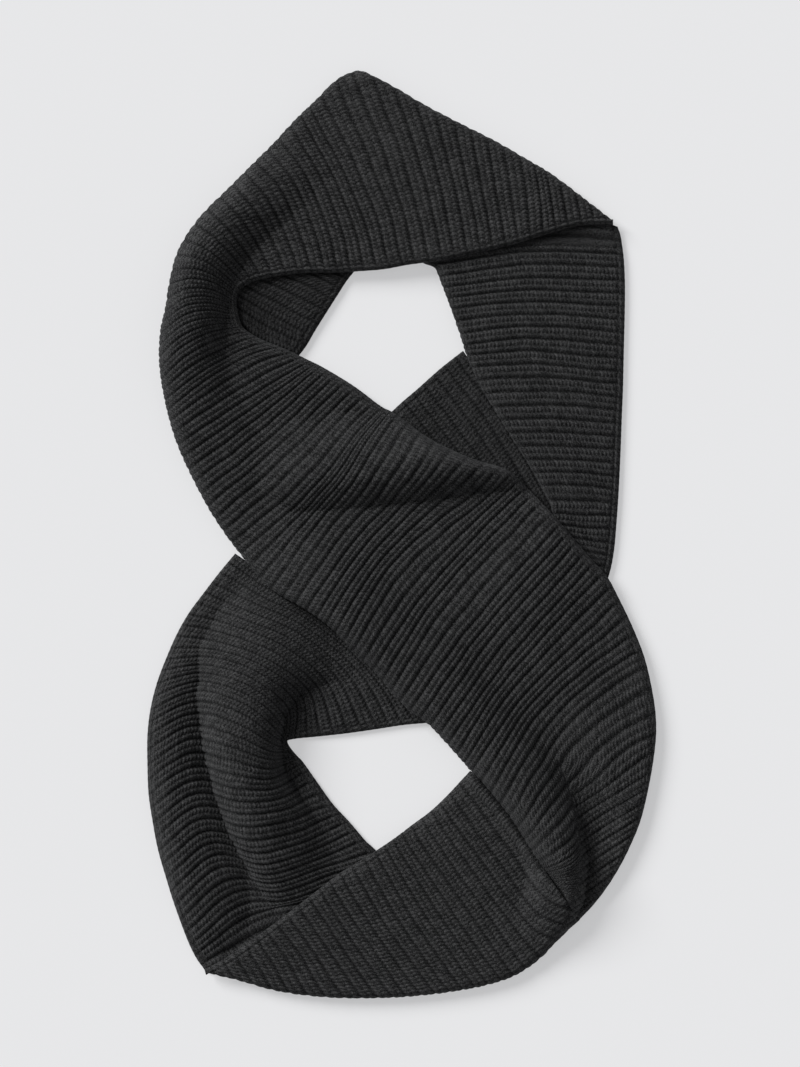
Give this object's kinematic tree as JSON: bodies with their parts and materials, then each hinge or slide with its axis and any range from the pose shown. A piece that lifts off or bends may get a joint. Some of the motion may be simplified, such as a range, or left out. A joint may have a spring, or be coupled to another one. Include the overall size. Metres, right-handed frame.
{
  "type": "ribbed infinity scarf",
  "caption": "Wide ribbed knit band joined in a loop and laid flat in a figure eight, with its folds, crossings and both openings",
  "frame": {"origin": "centre of the bounding box in plan, on the surface the scarf lies on", "axes": "+Y runs up the figure eight along its length, +X to the right in the laid view, +Z away from the surface"},
  "size_m": [0.3307, 0.6017, 0.0314],
  "materials": {
    "knit": "soft matt rib knit, dark charcoal"
  },
  "bodies": {
    "root": {"upper_stretch": "knit", "crossing_stretch": "knit", "bottom_stretch": "knit", "right_stretch": "knit", "inner_tuck": "knit", "left_underlay": "knit", "lower_left_stretch": "knit"}
  },
  "joints": []
}
